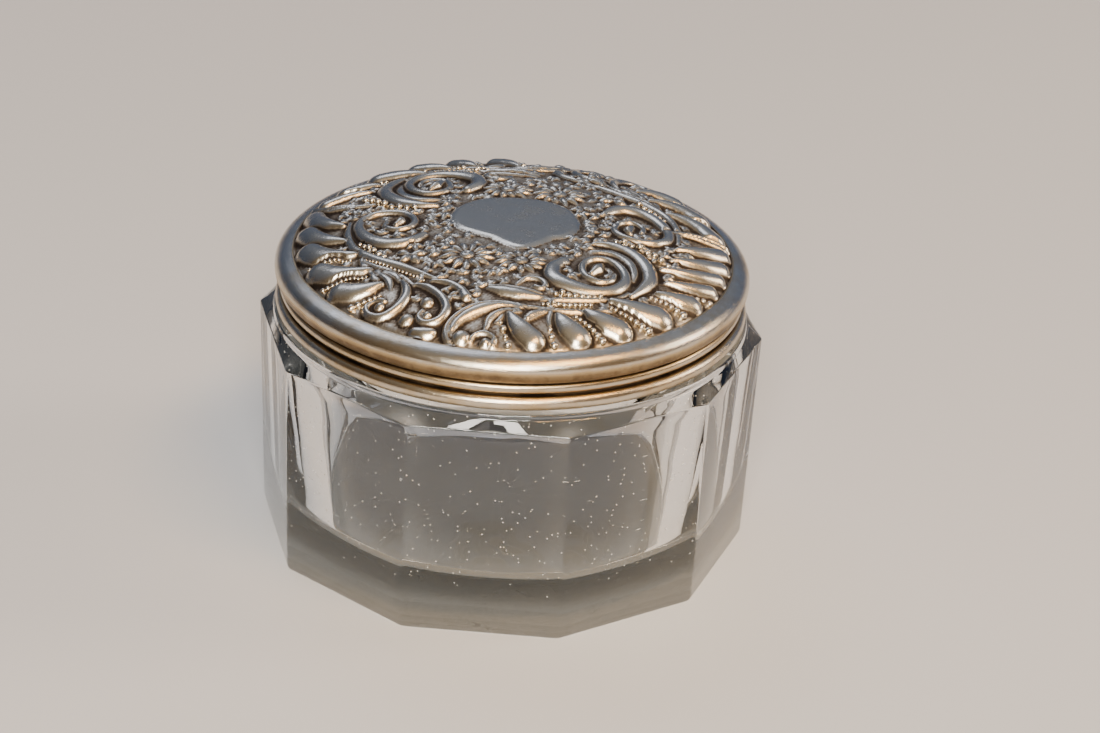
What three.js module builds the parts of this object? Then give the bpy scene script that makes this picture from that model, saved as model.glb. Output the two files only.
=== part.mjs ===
// A dressing-table powder jar: a ten-sided glass jar with a plain round neck, and a domed silver lid
// that slips over the neck and lifts straight off.
// Millimetres, +Z up, origin at the centre of the jar's base. One flat panel faces -Y.
import * as THREE from 'three';

// ---- driving dimensions: the glass jar ----
const PANELS = 10;                // flat sides round the jar
const CORNER_R = 41.0;            // centre to a corner, at the panels' upper edge
const PANEL_TAPER = 0.8;          // how much less that is at the foot
const PANEL_TOP = 36.6;           // height of the panels' upper edge
const FOOT_BEVEL = 0.7;           // softened edge round the base
const SHOULDER_INSET = 0.7;       // from the middle of a panel in to the round ledge
const SHOULDER_RISE = 1.6;        // from the panels' upper edge up to the foot of the ledge
const LEDGE_HEIGHT = 0.9;         // upright edge of the round ledge that the lid sits on
const LEDGE_OVERHANG = 0.25;      // how far the ledge stands out past the lid's foot bead
const NECK_HEIGHT = 6.9;          // neck above the ledge
const NECK_WALL = 3.0;
const NECK_LIP = 0.8;             // rounding on the neck's lip
const WALL = 5.0;                 // glass behind the middle of a panel, below the neck
const INSIDE_DRAFT = 2.0;         // how much the inside narrows from there to the floor
const THROAT_HEIGHT = 6.0;        // height over which the neck's bore widens to the inside
const BASE_THICKNESS = 7.4;       // solid glass under the powder
const FLOOR_CORNER = 3.0;         // radius where the inside wall meets the floor

// ---- driving dimensions: the lid ----
const RIM_PROUD = 1.25;           // how far the lid's rim stands out from the band under it
const RIM_HEIGHT = 4.4;           // from the turned-under edge to the top of the smooth border
const RIM_BELLY = 2.1;            // height above that edge at which the rim is widest
const BORDER = 3.1;               // smooth border, from the rim in to the ornament
const CROWN_RISE = 5.7;           // from the border's inner edge up to the crown
const CROWN_FLATNESS = 3.5;       // power of the crown's curve: 2 is a plain dome, more is flatter
const SHEET = 0.7;                // thickness of the silver sheet
const SKIRT_WALL = 0.8;           // thickness of the band that slips over the neck
const FOOT_BEAD_PROUD = 1.25;     // how far the foot bead stands out from the band
const FOOT_BEAD_HEIGHT = 2.3;
const SMALL_BEAD_PROUD = 0.6;     // raised bead on the band, under the rim
const SMALL_BEAD_HEIGHT = 1.5;
const BEAD_GAP = 0.45;            // between the foot bead and the small bead
const RIM_GAP = 0.3;              // between the small bead and the rim's edge

// ---- clearances ----
const SLIP_FIT = 0.4;             // neck to band, so that the lid lifts freely
const SEAT_GAP = 0.3;             // ledge to foot bead
const SOLDER_GAP = 0.15;          // between the soldered pieces of the lid
const HEAD_ROOM = 0.6;            // band's top edge to the inside of the lid's sheet

// ---- how finely round shapes are divided ----
const STEPS_PER_PANEL = 6;
const ROUND_STEPS = PANELS * STEPS_PER_PANEL;
const CORNER_STEPS = 4;
const BEAD_STEPS = 6;
const RIM_STEPS = 7;
const CROWN_STEPS = 9;

// ---- sizes that follow from those above ----
const panelR = CORNER_R * Math.cos(Math.PI / PANELS);
const footCornerR = CORNER_R - PANEL_TAPER;
const ledgeR = panelR - SHOULDER_INSET;
const footBeadR = ledgeR - LEDGE_OVERHANG;
const skirtOuterR = footBeadR - FOOT_BEAD_PROUD;
const skirtInnerR = skirtOuterR - SKIRT_WALL;
const neckR = skirtInnerR - SLIP_FIT;
const boreR = neckR - NECK_WALL;
const insideR = panelR - WALL;
const floorR = insideR - INSIDE_DRAFT;
const ledgeFoot = PANEL_TOP + SHOULDER_RISE;
const ledgeTop = ledgeFoot + LEDGE_HEIGHT;
const neckTop = ledgeTop + NECK_HEIGHT;
const footBeadBottom = ledgeTop + SEAT_GAP;
const footBeadTop = footBeadBottom + FOOT_BEAD_HEIGHT;
const smallBeadBottom = footBeadTop + BEAD_GAP;
const smallBeadTop = smallBeadBottom + SMALL_BEAD_HEIGHT;
const rimBottom = smallBeadTop + RIM_GAP;
const rimBelly = rimBottom + RIM_BELLY;
const rimInnerR = skirtOuterR + SOLDER_GAP;
const rimR = rimInnerR + RIM_PROUD;
const borderTop = rimBottom + RIM_HEIGHT;
const borderInnerR = rimR - BORDER;
const skirtTop = borderTop - SHEET - HEAD_ROOM;

// ---- materials ----
const glass = new THREE.MeshStandardMaterial({
  color: 0xdfe6ea, roughness: 0.05, metalness: 0.0, transparent: true, opacity: 0.4,
});
const silver = new THREE.MeshStandardMaterial({ color: 0xb8b2a5, roughness: 0.3, metalness: 1.0 });

// ---- helpers ----
const at = (r, z) => new THREE.Vector2(r, z);

// Points on an elliptical arc, both ends included. Angles in degrees from +r towards +z.
function arc(centreR, centreZ, radiusR, radiusZ, fromDegrees, toDegrees, steps) {
  const curve = new THREE.EllipseCurve(
    centreR, centreZ, radiusR, radiusZ,
    THREE.MathUtils.degToRad(fromDegrees), THREE.MathUtils.degToRad(toDegrees), toDegrees < fromDegrees,
  );
  return curve.getPoints(steps);
}

// A profile of (radius, height) turned about Z.
function turn(profile) {
  const shape = new THREE.LatheGeometry(profile, ROUND_STEPS);
  shape.rotateX(Math.PI / 2);
  return shape;
}

function mesh(name, geometry, material) {
  const made = new THREE.Mesh(geometry, material.clone());
  made.name = name;
  return made;
}

// ---- glass jar ----
// The outside is turned like the rest, and then each ring of the panelled stretch is moved in to a
// straight-sided outline. panelled is 1 on a ring that is fully ten-sided and 0 on a round one.
function glassJar() {
  const rings = [
    { point: at(0, 0), panelled: 0 },
    { point: at(footCornerR - FOOT_BEVEL, 0), panelled: 1 },
    { point: at(footCornerR, FOOT_BEVEL), panelled: 1 },
    { point: at(CORNER_R, PANEL_TOP), panelled: 1 },
    { point: at(ledgeR, ledgeFoot), panelled: 0 },
    { point: at(ledgeR, ledgeTop), panelled: 0 },
    { point: at(neckR, ledgeTop), panelled: 0 },
  ];
  const round = [
    ...arc(neckR - NECK_LIP, neckTop - NECK_LIP, NECK_LIP, NECK_LIP, 0, 90, CORNER_STEPS),
    ...arc(boreR + NECK_LIP, neckTop - NECK_LIP, NECK_LIP, NECK_LIP, 90, 180, CORNER_STEPS),
    at(boreR, ledgeFoot),
    at(insideR, ledgeFoot - THROAT_HEIGHT),
    ...arc(floorR - FLOOR_CORNER, BASE_THICKNESS + FLOOR_CORNER, FLOOR_CORNER, FLOOR_CORNER,
      0, -90, CORNER_STEPS),
    at(0, BASE_THICKNESS),
  ];
  for (const point of round) rings.push({ point, panelled: 0 });

  const shape = turn(rings.map((ring) => ring.point));
  const places = shape.attributes.position;
  const panelAngle = (2 * Math.PI) / PANELS;
  for (let i = 0; i < places.count; i += 1) {
    const step = Math.floor(i / rings.length) % STEPS_PER_PANEL;
    const fromMiddle = (step / STEPS_PER_PANEL - 0.5) * panelAngle;
    const flat = Math.cos(panelAngle / 2) / Math.cos(fromMiddle);
    const scale = THREE.MathUtils.lerp(1, flat, rings[i % rings.length].panelled);
    places.setXY(i, places.getX(i) * scale, places.getY(i) * scale);
  }
  // A lathe starts on the Y axis. A quarter turn puts a corner on the X axis and a panel on -Y.
  shape.rotateZ(Math.PI / 2);
  return mesh('glass_jar', shape, glass);
}

// ---- lid ----
function crownHeight(r) {
  return borderTop + CROWN_RISE * (1 - (r / borderInnerR) ** CROWN_FLATNESS);
}

// The sheet's outer line, from the crown out over the border and round to the turned-under edge.
// An inset gives the line that far inside it.
function lidLine(inset) {
  const crown = [];
  for (let i = 0; i < CROWN_STEPS; i += 1) {
    const r = borderInnerR * Math.sqrt(i / CROWN_STEPS);
    crown.push(at(r, crownHeight(r) - inset));
  }
  const over = arc(borderInnerR, rimBelly, BORDER - inset, borderTop - rimBelly - inset, 90, 0, RIM_STEPS);
  const under = arc(rimInnerR, rimBelly, RIM_PROUD - inset, RIM_BELLY - inset, 0, -90, RIM_STEPS);
  return [...crown, ...over, ...under.slice(1)];
}

function lidTop() {
  return mesh('lid_top', turn([...lidLine(SHEET), ...lidLine(0).reverse()]), silver);
}

function halfBead(bottom, height, r, proud) {
  return arc(r, bottom + height / 2, proud, height / 2, -90, 90, BEAD_STEPS);
}

// The band that slips over the neck, with a small bead raised round it.
function lidSkirt() {
  const bottom = footBeadBottom + SEAT_GAP;
  const profile = [
    at(skirtInnerR, bottom),
    at(skirtOuterR, bottom),
    ...halfBead(smallBeadBottom, SMALL_BEAD_HEIGHT, skirtOuterR, SMALL_BEAD_PROUD),
    at(skirtOuterR, skirtTop),
    at(skirtInnerR, skirtTop),
    at(skirtInnerR, bottom),
  ];
  return mesh('lid_skirt', turn(profile), silver);
}

// The half-round wire soldered round the band's foot, which rests on the glass ledge.
function lidFootBead() {
  const innerR = skirtOuterR + SOLDER_GAP;
  const bead = halfBead(footBeadBottom, FOOT_BEAD_HEIGHT, innerR, footBeadR - innerR);
  return mesh('lid_foot_bead', turn([...bead, bead[0]]), silver);
}

const powderJar = new THREE.Group();
powderJar.add(glassJar(), lidTop(), lidSkirt(), lidFootBead());

export default powderJar;
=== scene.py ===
# %% [markdown]
# # A silver-topped glass powder jar
# The real object is a ten-sided jar of pressed glass with a round neck, and a loose lid stamped from
# silver sheet. The frame holds the sizes: every piece below takes its place from the frame's boxes.
# The frame's plain solids stay in the motion model, and finer pieces stand in for them here.

# %% Load the frame
import bpy
import bmesh
import math
import numpy as np
from mathutils import Matrix, Vector


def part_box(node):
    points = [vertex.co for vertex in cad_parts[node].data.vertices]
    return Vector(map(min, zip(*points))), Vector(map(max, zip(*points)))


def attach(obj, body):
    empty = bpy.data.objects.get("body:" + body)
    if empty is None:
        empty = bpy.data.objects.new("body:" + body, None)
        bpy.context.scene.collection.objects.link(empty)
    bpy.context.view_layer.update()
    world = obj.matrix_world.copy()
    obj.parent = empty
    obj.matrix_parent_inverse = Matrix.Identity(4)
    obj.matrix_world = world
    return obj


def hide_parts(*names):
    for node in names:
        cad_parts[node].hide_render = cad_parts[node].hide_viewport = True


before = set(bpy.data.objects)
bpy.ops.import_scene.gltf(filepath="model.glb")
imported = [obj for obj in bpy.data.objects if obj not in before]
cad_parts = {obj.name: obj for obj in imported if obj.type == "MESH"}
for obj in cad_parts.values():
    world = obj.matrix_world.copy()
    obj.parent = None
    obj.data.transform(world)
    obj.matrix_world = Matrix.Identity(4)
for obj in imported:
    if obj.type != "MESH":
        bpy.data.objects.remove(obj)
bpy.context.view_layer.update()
MM = 0.001

# %% [markdown]
# ## Camera
# A jar this small is looked at from close by, a third of the way up from the table, with a long lens.
# The camera is placed on a sphere round the centre of the jar's base and looks at that point. It is
# then turned a little, because a hand-held camera is never quite level or centred.

# %% Camera
LENS = 98.2
DISTANCE = 0.5049
AZIMUTH = math.radians(3.774)
ELEVATION = math.radians(29.96)
LOOK_RIGHT = math.radians(0.804)
LOOK_UP = math.radians(2.838)
LEAN = math.radians(2.649)
SENSOR_WIDTH = 36

back = Vector((math.sin(AZIMUTH) * math.cos(ELEVATION), -math.cos(AZIMUTH) * math.cos(ELEVATION),
               math.sin(ELEVATION)))
right = Vector((math.cos(AZIMUTH), math.sin(AZIMUTH), 0))
facing = Matrix((right, back.cross(right), back)).transposed().to_4x4()
turned = (Matrix.Rotation(-LOOK_RIGHT, 4, "Y") @ Matrix.Rotation(LOOK_UP, 4, "X")
          @ Matrix.Rotation(LEAN, 4, "Z"))
camera = bpy.data.objects.new("camera", bpy.data.cameras.new("camera"))
camera.data.lens = LENS
camera.data.sensor_width = SENSOR_WIDTH
camera.data.clip_start = 0.01
camera.matrix_world = Matrix.Translation(back * DISTANCE) @ facing @ turned
bpy.context.collection.objects.link(camera)
bpy.context.scene.camera = camera
print("camera", DISTANCE, "m away with a", LENS, "mm lens")

# %% [markdown]
# ## Helpers
# One function turns a paint-chart hex colour into the linear light values that shaders use, one adds a
# shader node with its settings and links, and one starts an empty material. Lengths are written in
# millimetres and become metres at the last step.

# %% Helpers for colour and shader nodes
def linear(hex_colour, alpha=1.0):
    """Linear red, green, blue and alpha of a colour written as hex."""
    parts = [int(hex_colour[i:i + 2], 16) / 255 for i in (0, 2, 4)]
    light = [p / 12.92 if p <= 0.04045 else ((p + 0.055) / 1.055) ** 2.4 for p in parts]
    return (*light, alpha)


def node(tree, kind, settings=None, **inputs):
    """Adds a node. An input is a value or another node's socket; _0 is the first input, by number."""
    made = tree.nodes.new(kind)
    for name, value in (settings or {}).items():
        setattr(made, name, value)
    for name, value in inputs.items():
        place = int(name[1:]) if name[1:].isdigit() else name.replace("_", " ")
        if isinstance(value, bpy.types.NodeSocket):
            tree.links.new(value, made.inputs[place])
        else:
            made.inputs[place].default_value = value
    return made


def material(name):
    """A material with no nodes yet, and its tree."""
    made = bpy.data.materials.new(name)
    made.use_nodes = True
    made.node_tree.nodes.clear()
    return made, made.node_tree


# %% [markdown]
# ## Steps that finishes share
# A finish is built from a few kinds of step: arithmetic, a change of range, cloudy noise with clumps of
# a size in millimetres, a mix of two colours, a run of colours, and small bumps. Each has a name here.

# %% Steps that finishes share
def maths(tree, operation, *values, clamp=False):
    """One step of arithmetic."""
    numbered = {f"_{place}": value for place, value in enumerate(values)}
    return node(tree, "ShaderNodeMath", {"operation": operation, "use_clamp": clamp}, **numbered).outputs[0]


def ranged(tree, value, start, end, low=0.0, high=1.0, kind="LINEAR"):
    """A value carried from one range to another."""
    return node(tree, "ShaderNodeMapRange", {"interpolation_type": kind}, Value=value,
                From_Min=start, From_Max=end, To_Min=low, To_Max=high).outputs[0]


def noise(tree, place, clump, detail, roughness=0.5):
    """Cloudy noise with clumps of that size, in millimetres."""
    return node(tree, "ShaderNodeTexNoise", Vector=place, Scale=1 / (clump * MM),
                Detail=detail, Roughness=roughness).outputs[0]


def blend(tree, share, first, second):
    """A mix of two colours."""
    return node(tree, "ShaderNodeMix", {"data_type": "RGBA"}, _0=share, _6=first, _7=second).outputs[2]


def colour_run(tree, amount, first, last, *between):
    """Colours from nought to one, with stops between."""
    run = node(tree, "ShaderNodeValToRGB", Fac=amount)
    run.color_ramp.elements[0].color = linear(first)
    run.color_ramp.elements[1].color = linear(last)
    for stop, colour in between:
        run.color_ramp.elements.new(stop).color = linear(colour)
    return run.outputs[0]


def bumps(tree, height, strength, depth, over=None):
    """Small unevenness, its depth in millimetres, laid over another if one is given."""
    made = node(tree, "ShaderNodeBump", Strength=strength, Distance=depth * MM, Height=height)
    if over:
        tree.links.new(over, made.inputs["Normal"])
    return made.outputs[0]


def object_place(tree):
    """A point's place on the object, in metres."""
    return node(tree, "ShaderNodeTexCoord").outputs["Object"]


def surface(tree, shader, output="ShaderNodeOutputMaterial"):
    """Makes the shader the material's, or the room's, surface."""
    node(tree, output, Surface=shader.outputs[0])


# %% [markdown]
# ## From a bmesh to a piece
# Every piece is finished the same way: faces turned outwards, smooth shading except across real edges,
# one finish, and its place on a body of the frame, the jar or the lid. A piece that takes the place of a
# plain solid of the frame says so here.

# %% Helper that finishes a piece
def piece(name, bm, finish, body=None, stands_for=(), crease=40):
    """Makes the bmesh a finished object. Edges that bend by more than the crease, in degrees, stay sharp."""
    bmesh.ops.recalc_face_normals(bm, faces=bm.faces)
    for face in bm.faces:
        face.smooth = True
    for edge in bm.edges:
        edge.smooth = len(edge.link_faces) != 2 or edge.calc_face_angle(0) < math.radians(crease)
    mesh = bpy.data.meshes.new(name)
    bm.to_mesh(mesh)
    bm.free()
    mesh.materials.append(finish)
    made = bpy.data.objects.new(name, mesh)
    bpy.context.collection.objects.link(made)
    if body:
        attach(made, body)
    if stands_for:
        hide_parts(*stands_for)
    mesh.calc_loop_triangles()
    print(name, len(mesh.loop_triangles), "triangles,", [round(s / MM, 2) for s in made.dimensions], "mm")
    return made


# %% [markdown]
# ## Turned shapes
# The jar's neck, the band, the wire and the rim are all round, as work from a lathe is. Each is drawn
# once as a section, a line of radius and height, and turned about Z. Rounded corners in a section are
# arcs of an ellipse.

# %% Helpers for turned shapes
WELD = 1e-7


def arc(centre_r, centre_z, radius_r, radius_z, start, end, steps):
    """Points on an ellipse, from one angle in degrees to another."""
    turns = np.radians(np.linspace(start, end, steps + 1))
    return [(centre_r + radius_r * math.cos(t), centre_z + radius_z * math.sin(t)) for t in turns]


def spun(bm, profile, steps, closed=True):
    """Turns a line of (radius, height) points, in millimetres, round Z."""
    corners = [bm.verts.new((r * MM, 0, z * MM)) for r, z in profile]
    pairs = list(zip(corners, corners[1:]))
    if closed:
        pairs.append((corners[-1], corners[0]))
    edges = [bm.edges.new(pair) for pair in pairs]
    bmesh.ops.spin(bm, geom=corners + edges, cent=(0, 0, 0), axis=(0, 0, 1),
                   angle=2 * math.pi, steps=steps, use_merge=True)
    bmesh.ops.remove_doubles(bm, verts=bm.verts, dist=WELD)
    return bm


# %% [markdown]
# ## Sizes from the frame
# Each frame node's box gives its outer radius and its lowest and highest point. Everything below is
# worked out from these and from a few sizes that the boxes don't show, such as wall thicknesses.

# %% Sizes from the frame
def size_of(name):
    """A node's outer radius, bottom and top, in millimetres."""
    lo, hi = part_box(name)
    return hi[0] / MM, lo[2] / MM, hi[2] / MM


corner_r, _, neck_top = size_of("glass_jar")
rim_r, rim_bottom, crown_top = size_of("lid_top")
small_bead_r, band_bottom, band_top = size_of("lid_skirt")
wire_r, wire_bottom, wire_top = size_of("lid_foot_bead")
PANEL_TOP = 36.6
FLOOR = 7.4
print("corner radius", round(corner_r, 2), "neck top", round(neck_top, 2), "rim radius", round(rim_r, 2))

# %% [markdown]
# ## Floor and lights
# Polished silver has little colour of its own: it shows the room. So the room is made first. It is cool
# grey behind, warm brown in front, dimmer at the left and paler overhead, which gives the metal its
# shadows and its bronze tints. A soft lamp in front lights the rim and the ends of the lobes, a
# warm one high at the right lays a golden streak on the border, one at the side picks out the glass's
# edges, and a weak cool one behind keeps the far side from going black.

# %% Floor
FLOOR_REACH = 12.0
FLOOR_CLUMP = 400
floor_finish, tree = material("pale_floor")
grain = noise(tree, object_place(tree), FLOOR_CLUMP, detail=4)
tint = blend(tree, grain, linear("C6C6C6"), linear("CFCFCF"))
surface(tree, node(tree, "ShaderNodeBsdfPrincipled", Base_Color=tint, Roughness=1.0, Specular_IOR_Level=0.1))
bm = bmesh.new()
bmesh.ops.create_grid(bm, x_segments=1, y_segments=1, size=FLOOR_REACH)
piece("floor", bm, floor_finish)

# %% [markdown]
# ## The room that the silver mirrors
# The room is one gradient on the direction that is looked in, so it has no edges to show as lines in the
# metal. The front is the warm side, as a lamp-lit room is, the back stays cool, and the left is dim.

# %% Room
LEFT_GLOW = 0.3
RIGHT_GLOW = 0.6
world = bpy.data.worlds.new("studio")
world.use_nodes = True
tree = world.node_tree
tree.nodes.clear()
way = node(tree, "ShaderNodeSeparateXYZ", Vector=node(tree, "ShaderNodeTexCoord").outputs["Generated"])
rise = ranged(tree, way.outputs["Z"], 0.15, 1.0, kind="SMOOTHSTEP")
fronted = ranged(tree, way.outputs["Y"], 0.25, -0.35, kind="SMOOTHSTEP")
cool = blend(tree, rise, linear("7688AC"), linear("C8D1E2"))
warm = blend(tree, rise, linear("9A7E5C"), linear("CDBFA8"))
dimmed = ranged(tree, way.outputs["X"], -0.95, 0.1, LEFT_GLOW, RIGHT_GLOW)
shade = blend(tree, fronted, cool, warm)
glow = node(tree, "ShaderNodeBackground", Color=shade, Strength=dimmed)
surface(tree, glow, "ShaderNodeOutputWorld")
bpy.context.scene.world = world
print("room with", len(tree.nodes), "nodes, from", LEFT_GLOW, "at the left to", RIGHT_GLOW, "at the right")

# %% [markdown]
# ## Soft lamps
# Each lamp is a soft box on a stand, given as a studio would note it: degrees round, degrees up, metres
# away, width and height in metres, and watts. They leave bright edges on the silver, not a wash.

# %% Soft lamps
def softbox(name, azimuth, elevation, distance, size, power, colour):
    """A rectangular lamp that faces the jar. Its azimuth runs from the front, towards the right."""
    turn, climb = math.radians(azimuth), math.radians(elevation)
    place = Vector((math.sin(turn) * math.cos(climb), -math.cos(turn) * math.cos(climb), math.sin(climb)))
    light = bpy.data.lights.new(name, "AREA")
    light.shape = "RECTANGLE"
    light.size, light.size_y = size
    light.energy = power
    light.color = linear(colour)[:3]
    lamp = bpy.data.objects.new(name, light)
    lamp.location = place * distance
    lamp.rotation_mode = "QUATERNION"
    lamp.rotation_quaternion = place.to_track_quat("Z", "Y")
    bpy.context.collection.objects.link(lamp)
    print(name, power, "W at", azimuth, "degrees round and", elevation, "degrees up")


softbox("front_lamp", 3, 33, 1.2, (0.42, 0.5), 22, "FFF8EE")
softbox("warm_lamp", 44, 60, 1.2, (0.5, 0.22), 8, "FFC679")
softbox("side_lamp", 100, 28, 1.2, (0.35, 0.5), 6, "FFE9CF")
softbox("rear_lamp", -150, 55, 1.3, (0.7, 0.5), 3, "D6E2FF")

# %% [markdown]
# ## Silver
# The lid is sterling silver: stamped, turned and soldered, then rubbed bright by hand for a century.
# What a cloth reaches stays bright, with fine scratches, and a brown-black film of silver sulphide
# stays in every hollow. Each piece carries an attribute that is above nought where a cloth doesn't
# reach, and also under the border's rim, where it is painted shade: a dark reflection painted in. The
# finish darkens and roughens there. A metal's colour is its base colour, and its IOR is left alone.
#
# The embossed top is the stamped one. The die gave it a fine grain and the matted ground between the
# forms. It was oxidised on purpose, so that the pattern shows, and rubbing has bared the high spots. The
# real grain is finer still, and its clumps are drawn just coarse enough to show.

# %% Embossed silver: stamped relief, oxidised in its hollows
CLOUD_CLUMP = 3.85
PIT_CLUMP = 0.385
WIPED_CLEAN = -0.14
NEVER_WIPED = 0.26
embossed, tree = material("embossed_silver")
place = object_place(tree)
film_and_painted_shade = node(tree, "ShaderNodeAttribute", {"attribute_name": "film_and_painted_shade"}).outputs["Fac"]
film = ranged(tree, film_and_painted_shade, WIPED_CLEAN, NEVER_WIPED, kind="SMOOTHSTEP")
cloud = noise(tree, place, CLOUD_CLUMP, detail=6, roughness=0.65)
patchy = maths(tree, "MULTIPLY_ADD", cloud, 0.8, -0.4)
amount = maths(tree, "ADD", film, patchy, clamp=True)
tint = colour_run(tree, amount, "D8CEBB", "3A3129", (0.35, "BDB09A"), (0.7, "7C6F5E"))
rough = ranged(tree, amount, 0, 1, low=0.24, high=0.6)
pits = noise(tree, place, PIT_CLUMP, detail=3, roughness=0.7)
grain = bumps(tree, pits, strength=0.35, depth=0.08)
surface(tree, node(tree, "ShaderNodeBsdfPrincipled", Base_Color=tint, Metallic=1.0, Roughness=rough,
                   Normal=grain))
print(embossed.name, "has", len(tree.nodes), "nodes")

# %% [markdown]
# ## Polished silver
# The border, band and wire are plain. They were turned, burnished, and wiped ever since, mostly round the
# lid, so their finest marks run round, with stray strokes across. Real ones are finer than a hair, and
# both kinds are drawn coarser, so that they show. A slight unevenness from handling bends what the
# silver mirrors. The film is left beside every bead, and under the rim a dark reflection is painted in,
# as painted shade.

# %% Polished silver: turned and burnished, scratched by wiping
SCRATCH_SPACING = 0.22
STROKE_SPACING = 0.132
STROKE_LENGTH = 4.0
STAIN_CLUMP = 9.0
DENT_CLUMP = 6.25
LINES_PER_RADIAN = 9.0
silver, tree = material("polished_silver")
place = object_place(tree)
film_and_painted_shade = node(tree, "ShaderNodeAttribute", {"attribute_name": "film_and_painted_shade"}).outputs["Fac"]
stain = ranged(tree, noise(tree, place, STAIN_CLUMP, detail=8, roughness=0.7), 0.46, 0.8)
# Stains are added to the attribute, which is tarnish in the corners and painted shade, a painted dark
# reflection, under the rim.
amount = maths(tree, "MULTIPLY_ADD", stain, 0.35, film_and_painted_shade, clamp=True)
tint = colour_run(tree, amount, "D5CCBC", "2A231C", (0.3, "BFA67E"), (0.65, "77634A"))
rough = ranged(tree, amount, 0, 1, low=0.19, high=0.5)
axes = node(tree, "ShaderNodeSeparateXYZ", Vector=place)
turn = maths(tree, "ARCTAN2", axes.outputs["Y"], axes.outputs["X"])
flat = node(tree, "ShaderNodeVectorMath", {"operation": "MULTIPLY"}, _0=place, _1=(1, 1, 0))
far = node(tree, "ShaderNodeVectorMath", {"operation": "LENGTH"}, _0=flat.outputs[0])
along = node(tree, "ShaderNodeCombineXYZ", X=turn, Y=far.outputs["Value"], Z=axes.outputs["Z"])
across = 1 / (SCRATCH_SPACING * MM)
drawn = node(tree, "ShaderNodeMapping", Vector=along.outputs[0], Scale=(LINES_PER_RADIAN, across, across))
lines = node(tree, "ShaderNodeTexNoise", Vector=drawn.outputs[0], Scale=1.0, Detail=4.0, Roughness=0.75)
lengthwise = 1 / (STROKE_LENGTH * MM)
wiped = node(tree, "ShaderNodeMapping", Vector=place, Rotation=(0.4, 0.3, 0.9),
             Scale=(lengthwise, 1 / (STROKE_SPACING * MM), lengthwise))
strokes = node(tree, "ShaderNodeTexNoise", Vector=wiped.outputs[0], Scale=1.0, Detail=4.0, Roughness=0.8)
marks = bumps(tree, maths(tree, "ADD", strokes.outputs[0], lines.outputs[0]), strength=0.4, depth=0.07)
dents = noise(tree, place, DENT_CLUMP, detail=2)
knocks = bumps(tree, dents, strength=0.25, depth=0.25, over=marks)
surface(tree, node(tree, "ShaderNodeBsdfPrincipled", Base_Color=tint, Metallic=1.0, Roughness=rough,
                   Normal=knocks))
print(silver.name, "has", len(tree.nodes), "nodes")

# %% [markdown]
# ## Marking the film and the painted shade
# A finish can't know where a cloth reaches, or where shade is painted in under the rim, so each piece
# tells it, with one number at each point. The turned pieces work it out from the radius and height of
# their points.

# %% Helper that marks a piece's film and painted shade
def mark_film_and_painted_shade(made, values):
    """Gives each of a piece's points its number."""
    shade = made.data.attributes.new("film_and_painted_shade", "FLOAT", "POINT")
    shade.data.foreach_set("value", np.asarray(values, np.float32))


def turned_points(made):
    """Radius and height of each of a piece's points, in millimetres."""
    flat = np.zeros(3 * len(made.data.vertices))
    made.data.vertices.foreach_get("co", flat)
    points = flat.reshape(-1, 3) / MM
    return np.hypot(points[:, 0], points[:, 1]), points[:, 2]


# %% [markdown]
# ## Pressed glass
# Soda-lime glass, pressed in a mould and fire-polished, so the faces are clear and a touch wavy. Its
# index is 1.52. Specks of dust and short hairlines lie on the panels, but not on the base. A lamp's
# light is let through for shadows, because real glass throws a bright one, but a little less of it.

# %% Pressed glass
RIPPLE_CLUMP = 10.5
DUST_SPACING = 1.0
DUST_SHARE = 0.6
HAIRLINE_SPACING = 6.0
HAIRLINE_SLIMNESS = 8.0
HAIRLINE_SHARE = 0.2
HAIRLINE_INSIDE = 0.06
HAIRLINE_EDGE = 0.12
SPECK_INSIDE = 0.07
SPECK_EDGE = 0.12
RAGGED_PER_MM = 0.9
RAGGED_BY = (0.15, 0.15, 0.3)
GLASS_INDEX = 1.52
glass, tree = material("pressed_glass")
place = object_place(tree)
ripple = bumps(tree, noise(tree, place, RIPPLE_CLUMP, detail=1), strength=0.35, depth=0.4)
clear = node(tree, "ShaderNodeBsdfPrincipled", Base_Color=linear("FDFDFC"), Roughness=0.0, IOR=GLASS_INDEX,
             Transmission_Weight=1.0, Normal=ripple)
ragged = node(tree, "ShaderNodeTexNoise", Vector=place, Scale=RAGGED_PER_MM / MM, Detail=3.0)
shaken = node(tree, "ShaderNodeVectorMath", {"operation": "MULTIPLY_ADD"}, _0=ragged.outputs["Color"],
              _1=[by * MM for by in RAGGED_BY], _2=place)
specks = node(tree, "ShaderNodeTexVoronoi", Vector=shaken.outputs[0], Scale=1 / (DUST_SPACING * MM))
speck = ranged(tree, specks.outputs["Distance"], SPECK_INSIDE, SPECK_EDGE, low=0.8, high=0.0)
chosen = maths(tree, "GREATER_THAN", specks.outputs["Color"], 1 - DUST_SHARE)
height = node(tree, "ShaderNodeSeparateXYZ", Vector=place).outputs["Z"]
raised = maths(tree, "GREATER_THAN", height, FLOOR * MM)
dust = maths(tree, "MULTIPLY", speck, chosen)
long, thin = 1 / (HAIRLINE_SPACING * MM), HAIRLINE_SLIMNESS / (HAIRLINE_SPACING * MM)
stretched = node(tree, "ShaderNodeMapping", Vector=place, Scale=(long, long, thin))
hairs = node(tree, "ShaderNodeTexVoronoi", Vector=stretched.outputs[0], Scale=1.0)
hair = ranged(tree, hairs.outputs["Distance"], HAIRLINE_INSIDE, HAIRLINE_EDGE, low=0.5, high=0.0)
picked = maths(tree, "GREATER_THAN", hairs.outputs["Color"], 1 - HAIRLINE_SHARE)
dust = maths(tree, "MAXIMUM", dust, maths(tree, "MULTIPLY", hair, picked))
dust = maths(tree, "MULTIPLY", dust, raised)
powder = node(tree, "ShaderNodeBsdfDiffuse", Color=linear("F2F0EA"))
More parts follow.
